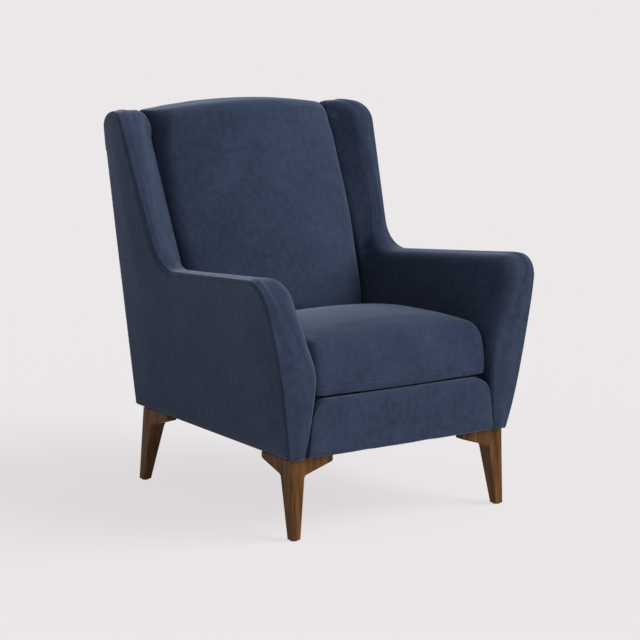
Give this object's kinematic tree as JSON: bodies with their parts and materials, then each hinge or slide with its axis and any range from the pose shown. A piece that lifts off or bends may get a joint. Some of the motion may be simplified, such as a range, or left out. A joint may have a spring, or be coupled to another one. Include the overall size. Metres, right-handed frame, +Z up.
{
  "type": "armchair",
  "caption": "Upholstered accent armchair with flared arms, short wings, a crowned back, a loose seat cushion and wooden bracket legs.",
  "frame": {"origin": "on the floor, under the middle of the chair's bounding box", "axes": "+Z up; the seat faces -Y; +X to the right for someone who faces the chair, as in the names of its left and right pieces"},
  "size_m": [0.7618, 0.764, 0.922],
  "materials": {
    "velvet": "short dense slate blue pile",
    "frame_timber": "planed softwood",
    "spring_steel": "oiled wire",
    "webbing": "woven elastic",
    "walnut": "dark stained, satin",
    "screw_steel": "zinc plated",
    "glide_plastic": "black",
    "deck_lining": "plain woven lining",
    "dust_cloth": "thin black non-woven",
    "foam": "open-cell foam",
    "zip_tape": "woven tape with coil teeth",
    "zip_metal": "burnished"
  },
  "bodies": {
    "chair": {"back_pad": "velvet", "outside_back_panel": "velvet", "front_apron_pad": "velvet", "left_arm_pad": "velvet", "left_outside_panel": "velvet", "right_arm_pad": "velvet", "right_outside_panel": "velvet", "front_seat_rail": "frame_timber", "back_seat_rail": "frame_timber", "rear_spring_rail": "frame_timber", "back_top_rail": "frame_timber", "corner_blocks": "frame_timber", "left_front_post": "frame_timber", "left_back_post": "frame_timber", "left_wing_post": "frame_timber", "left_arm_rail": "frame_timber", "left_seat_rail": "frame_timber", "right_front_post": "frame_timber", "right_back_post": "frame_timber", "right_wing_post": "frame_timber", "right_arm_rail": "frame_timber", "right_seat_rail": "frame_timber", "seat_spring_1": "spring_steel", "seat_spring_2": "spring_steel", "seat_spring_3": "spring_steel", "seat_spring_4": "spring_steel", "seat_spring_5": "spring_steel", "spring_clips": "spring_steel", "back_strap_1": "webbing", "back_strap_2": "webbing", "back_strap_3": "webbing", "back_strap_4": "webbing", "front_left_leg": "walnut", "back_left_leg": "walnut", "front_right_leg": "walnut", "back_right_leg": "walnut", "leg_screws": "screw_steel", "foot_glides": "glide_plastic", "seat_deck_pad": "deck_lining", "dust_cover": "dust_cloth"},
    "seat_cushion": {"seat_cushion_cover": "velvet", "seat_cushion_core": "foam", "cushion_zip_tape": "zip_tape"},
    "zip_slider": {"cushion_zip_slider": "zip_metal"}
  },
  "joints": [
    {"name": "cushion_lift", "type": "slide", "parent": "chair", "child": "seat_cushion", "axis": [0, 0, 1], "range_m": [0, 0.64]},
    {"name": "zip_slide", "type": "slide", "parent": "seat_cushion", "child": "zip_slider", "axis": [1, 0, 0], "range_m": [0, 0.352]}
  ]
}
